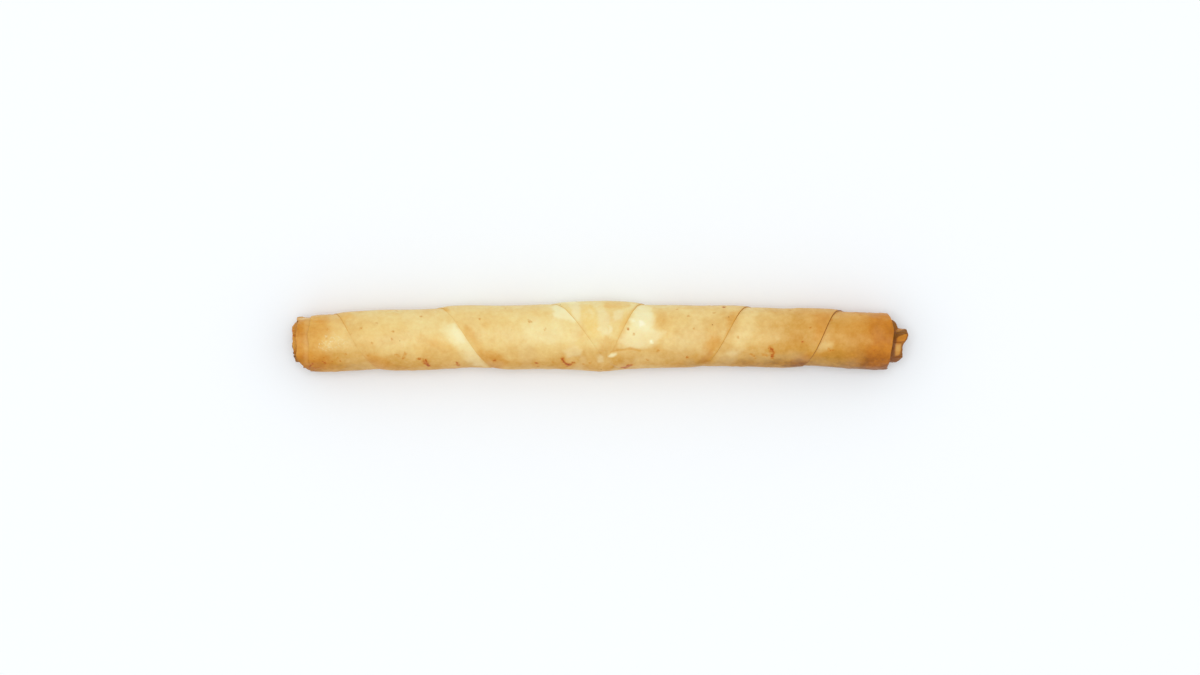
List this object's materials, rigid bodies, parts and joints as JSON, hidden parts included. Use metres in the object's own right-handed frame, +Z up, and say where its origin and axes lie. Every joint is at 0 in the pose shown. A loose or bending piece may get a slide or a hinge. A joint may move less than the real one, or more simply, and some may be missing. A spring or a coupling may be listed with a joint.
{
  "type": "cigar borek",
  "caption": "A long thin roll of baked pastry: a triangular sheet wound up from its wide base to its tip, with slanting steps along it and ragged ends.",
  "frame": {"origin": "middle of the bounding box's bottom face, on the surface that the roll rests on", "axes": "+X along the roll, +Z up through the side that shows in the picture, +Y across the roll, away from the sheet's tip"},
  "size_m": [0.1846, 0.0216, 0.019],
  "materials": {
    "baked_pastry": "thin pastry sheet, brushed with oil and baked pale gold"
  },
  "bodies": {
    "root": {"rolled_pastry": "baked_pastry"}
  },
  "joints": []
}
